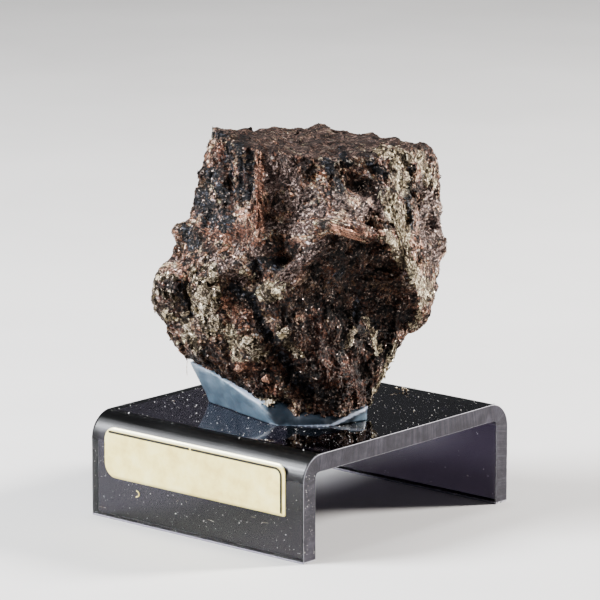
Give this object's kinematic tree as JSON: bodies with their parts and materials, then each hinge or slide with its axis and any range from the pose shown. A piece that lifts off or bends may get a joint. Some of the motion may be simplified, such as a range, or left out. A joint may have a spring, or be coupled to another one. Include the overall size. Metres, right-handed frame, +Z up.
{
  "type": "chalcopyrite specimen on acrylic stand",
  "caption": "Rough iron-stained chalcopyrite stone held by putty on a low see-through bridge stand with a blank foil name label.",
  "frame": {"origin": "centre of the stand's footprint, on the surface that it stands on", "axes": "+Z up through the stone, -Y out of the label on the stand's front leg, +X along the stand's bends to the right of the label"},
  "size_m": [0.047, 0.0527, 0.0648],
  "materials": {
    "acrylic": "polished",
    "foil": "satin",
    "stone": "satin",
    "putty": "satin"
  },
  "bodies": {
    "root": {"acrylic_stand": "acrylic", "name_label": "foil", "chalcopyrite_stone": "stone", "mounting_putty": "putty"}
  },
  "joints": []
}
